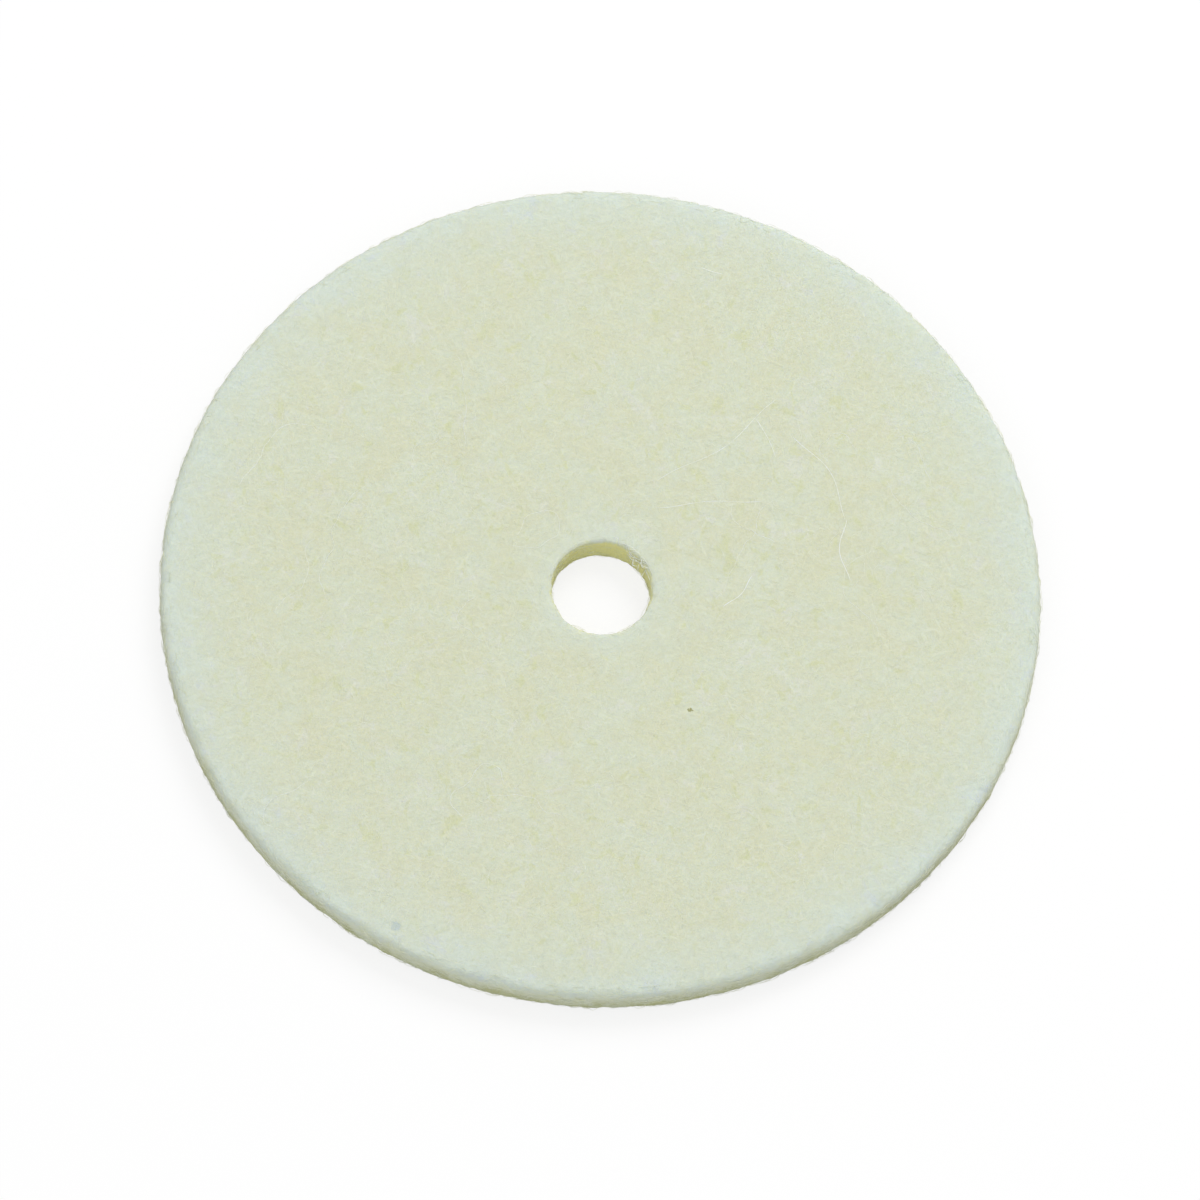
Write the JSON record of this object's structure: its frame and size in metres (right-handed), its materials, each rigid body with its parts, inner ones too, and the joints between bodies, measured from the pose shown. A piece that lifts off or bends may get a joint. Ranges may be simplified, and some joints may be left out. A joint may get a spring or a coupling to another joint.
{
  "type": "felt polishing wheel",
  "caption": "Flat disc of hard pressed wool felt with a plain central arbor hole, for polishing stone, glass or metal on a spindle.",
  "frame": {"origin": "middle of the underside, on the axis of the arbor hole, where the wheel lies on a bench", "axes": "+Z along the arbor hole's axis, out of the upper face; X and Y lie in the plane of the wheel and are interchangeable"},
  "size_m": [0.1142, 0.1142, 0.0048],
  "materials": {
    "wool_felt": "matte"
  },
  "bodies": {
    "root": {"felt_wheel": "wool_felt"}
  },
  "joints": []
}
